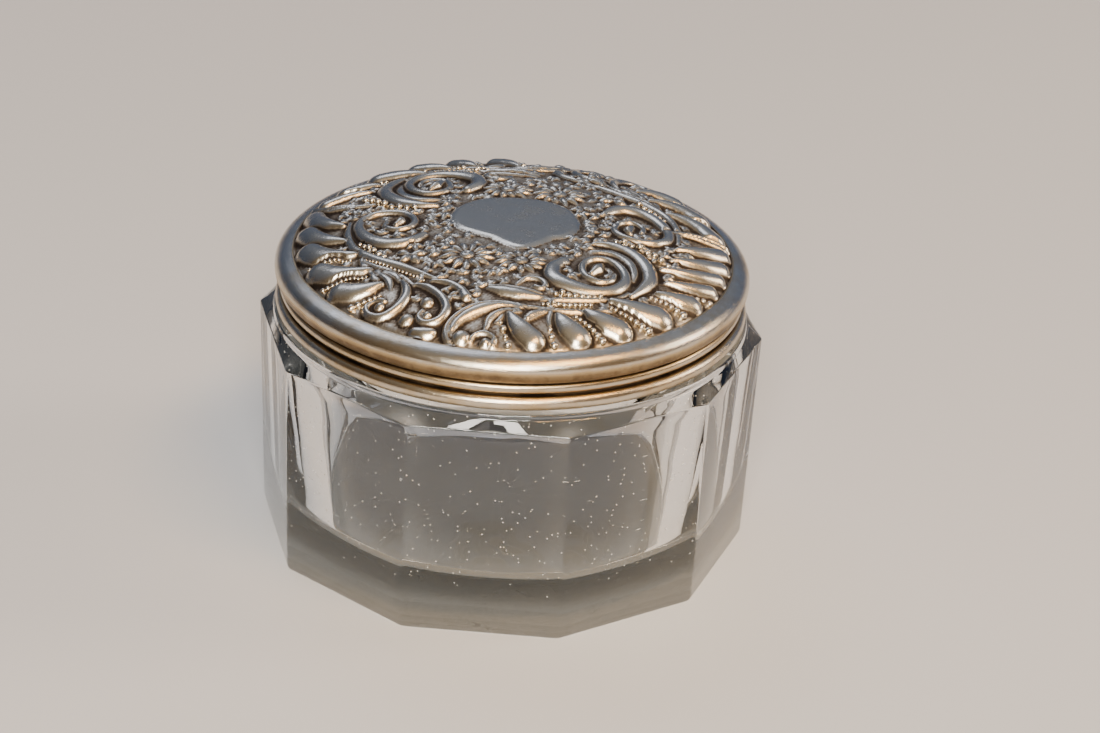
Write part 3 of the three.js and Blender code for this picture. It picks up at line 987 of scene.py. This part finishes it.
# %% A round plate of even triangles
def round_plate(bm, radius, cuts):
    """Adds a disc of 6 n n even triangles, n being every (cut + 1) multiplied. Returns its points, in mm."""
    whole = bmesh.new()
    bmesh.ops.create_circle(whole, cap_ends=True, cap_tris=True, segments=6, radius=1.0)
    for cut in cuts:
        bmesh.ops.subdivide_edges(whole, edges=whole.edges, cuts=cut, use_grid_fill=True)
    flat = np.array([vert.co[:2] for vert in whole.verts])
    angle = np.arctan2(flat[:, 1], flat[:, 0])
    middle = (np.floor((angle - math.pi / 6) / (math.pi / 3) + 1e-6) + 1) * math.pi / 3
    ring = radius * np.hypot(*flat.T) * np.cos(angle - middle) / math.cos(math.pi / 6)
    even = middle + math.pi / 6 * np.tan(angle - middle) / math.tan(math.pi / 6)
    spots = np.stack([ring * np.cos(even), ring * np.sin(even)], 1)
    for vert, (x, y) in zip(whole.verts, spots * MM):
        vert.co = (x, y, 0)
    joined = bpy.data.meshes.new("plate")
    whole.to_mesh(joined)
    whole.free()
    start = len(bm.verts)
    bm.from_mesh(joined)
    bpy.data.meshes.remove(joined)
    bm.verts.ensure_lookup_table()
    return spots, bm.verts[start:]


# %% [markdown]
# ## Domed shape
# Without its pattern the lid is a shallow dome, nearly flat in the middle, with a groove round the
# pattern and a smooth border that rolls over to the rim. The sizes are the section's own.

# %% Shape of the lid's top without its pattern
CROWN_FLATNESS = 3.5
BORDER = 3.1
BORDER_RISE = 2.3
BELLY = 2.1
RIM_PROUD = 1.25
SHEET = 0.7
GROOVE = 0.25
GROOVE_WIDTH = 0.35
CROWN_STEP = 0.25
RELIEF_ALLOWANCE = 0.75
LID_TURN = math.radians(3.774)

border_r = rim_r - BORDER
belly_z = rim_bottom + BELLY
border_top = belly_z + BORDER_RISE
crown_z = crown_top - RELIEF_ALLOWANCE


def dome(r):
    """Height of the plain sheet: a flat crown that rolls over into the smooth border."""
    crown = crown_z - (crown_z - border_top + CROWN_STEP) * np.clip(r / border_r, 0, 1) ** CROWN_FLATNESS
    border = belly_z + BORDER_RISE * np.sqrt(np.clip(1 - ((r - border_r) / BORDER) ** 2, 0, 1))
    return np.where(r < border_r, crown, border) - GROOVE * np.exp(-((r - border_r) / GROOVE_WIDTH) ** 2)


print("border from", round(border_r, 2), "to", round(rim_r, 2), "mm, crown at", round(crown_z, 2))

# %% [markdown]
# ## Raising the pattern
# The pattern is turned with the lid, which doesn't sit square on the jar. Bare ground gets the fine
# roughness that a matting punch leaves. A spot lies hollow where the sheet round it, evened over about a
# millimetre, is higher than the spot, and the film of tarnish follows that.

# %% Raise the pattern on the upper plate
EDGE_LAP = 0.4
GROUND_GRAIN = 0.035
BARE_BELOW = 0.05
HOLLOW_ROUNDS = 30
bm = bmesh.new()
spots, upper = round_plate(bm, border_r + EDGE_LAP, (1, 2, 2, 2, 2))
c, s = math.cos(LID_TURN), math.sin(LID_TURN)
plan = spots @ np.array([[c, -s], [s, c]])
relief, plain = emboss(plan)
raised_share = np.mean(relief.height > 0.1)
print(len(plan), "points,", round(100 * raised_share), "% of them raised, and", len(relief.beads), "pearls")


def evened(values, pairs, rounds):
    """Values shared with the neighbouring points, over and over."""
    shares = np.bincount(pairs.ravel(), minlength=len(values))
    for _ in range(rounds):
        lent = [np.bincount(pairs[:, k], values[pairs[:, 1 - k]], len(values)) for k in (0, 1)]
        values = 0.5 * values + 0.5 * (lent[0] + lent[1]) / shares
    return values


bm.verts.index_update()
pairs = np.array([[vert.index for vert in edge.verts] for edge in bm.edges])
height = relief.height.copy()
bare = height < BARE_BELOW
bare[plain] = False
bare[np.hypot(*plan.T) > border_r - 0.3] = False
height[bare] += np.random.default_rng(3).normal(0, GROUND_GRAIN, np.count_nonzero(bare))
film_and_painted_shade = evened(height, pairs, HOLLOW_ROUNDS) - height
height = evened(height, pairs, 1)
for vert, (x, y), z in zip(upper, spots, dome(np.hypot(*spots.T)) + height):
    vert.co = (x * MM, y * MM, z * MM)

# %% [markdown]
# ## Inside of the sheet
# The back of a struck sheet shows the pattern in reverse, softer. A coarser plate follows the evened
# heights at the sheet's thickness below, and a strip round the edge joins the two into one closed sheet.

# %% The inside of the sheet, joined to it round the edge
REVERSE_ROUNDS = 12
REVERSE_SHARE = 0.7
GRID_STEP = 0.5
GRID_REACH = 40
inner_spots, inner = round_plate(bm, border_r + EDGE_LAP, (1, 2, 2, 2))
soft = evened(relief.height, pairs, REVERSE_ROUNDS)
height_map = np.zeros((2 * int(GRID_REACH / GRID_STEP) + 1,) * 2)
square = np.round((spots + GRID_REACH) / GRID_STEP).astype(int)
height_map[square[:, 0], square[:, 1]] = soft
square = np.round((inner_spots + GRID_REACH) / GRID_STEP).astype(int)
reverse = REVERSE_SHARE * height_map[square[:, 0], square[:, 1]]
for vert, (x, y), z in zip(inner, inner_spots, dome(np.hypot(*inner_spots.T)) - SHEET + reverse):
    vert.co = (x * MM, y * MM, z * MM)
bmesh.ops.bridge_loops(bm, edges=[edge for edge in bm.edges if edge.is_boundary])
sheet = piece("lid_embossed_sheet", bm, embossed, "lid", ["lid_top"], crease=180)
film_and_painted_shade[plain] = np.minimum(film_and_painted_shade[plain], -0.1)
mark_film_and_painted_shade(sheet, np.concatenate([film_and_painted_shade, np.zeros(len(inner_spots))]))

# %% [markdown]
# ## Pearls
# The pearls of the rows are too small and round for the sheet's triangles, so each is a ball of its own,
# sunk for most of its lower half in the ground. They have few faces, because there are hundreds.

# %% Pearls
PEARL_RISE = 0.25
PEARL_WEAR = -0.08
bm = bmesh.new()
for x, y, radius in relief.beads:
    r = math.hypot(x, y)
    nearest = np.argmin(np.hypot(*(plan - (x, y)).T))
    z = float(dome(r)) + relief.height[nearest] + PEARL_RISE * radius
    place = Matrix.Rotation(LID_TURN, 4, "Z") @ Matrix.Translation((x * MM, y * MM, z * MM))
    bmesh.ops.create_uvsphere(bm, u_segments=8, v_segments=6, radius=radius * MM, matrix=place)
beads = piece("lid_beads", bm, embossed, "lid", crease=180)
mark_film_and_painted_shade(beads, np.full(len(beads.data.vertices), PEARL_WEAR))

# %% [markdown]
# ## Smooth border and rim
# The same sheet runs on as a plain polished border and rolls under at the rim. It is turned from its
# section, with the sheet's thickness all the way, and starts in the groove round the pattern.

# %% Border and rim
# How far above the belly the painted shade under the rim starts, in mm: a dark reflection painted in, not
# tarnish.
PAINTED_DARK_FROM = 0.3
RIM_STEPS = 324
over = arc(border_r, belly_z, BORDER, BORDER_RISE, 88, 0, 14)
under = arc(rim_r - RIM_PROUD, belly_z, RIM_PROUD, BELLY, 0, -90, 10)
over_inside = arc(border_r, belly_z, BORDER - SHEET, BORDER_RISE - SHEET, 90, 0, 10)
under_inside = arc(rim_r - RIM_PROUD, belly_z, RIM_PROUD - SHEET, BELLY - SHEET, 0, -90, 6)
start = [(border_r + 0.12, border_top - 0.35), (border_r + 0.13, border_top - 0.1)]
section = [*start, *over, *under[1:], *under_inside[::-1], *over_inside[-2::-1]]
border = piece("lid_border", spun(bmesh.new(), section, RIM_STEPS), silver, "lid",
               ["lid_top"])
r, z = turned_points(border)
groove = np.clip(1 - (r - border_r) / 0.5, 0, 1) * (z > belly_z)
# Under the rim the colour is darkened as painted shade, a dark reflection painted in. The groove beside the
# pattern gets tarnish.
painted_dark_under_rim = np.clip((belly_z + PAINTED_DARK_FROM - z) / 1.0, 0, 1)
mark_film_and_painted_shade(border, np.maximum(0.7 * groove, 0.55 * painted_dark_under_rim))
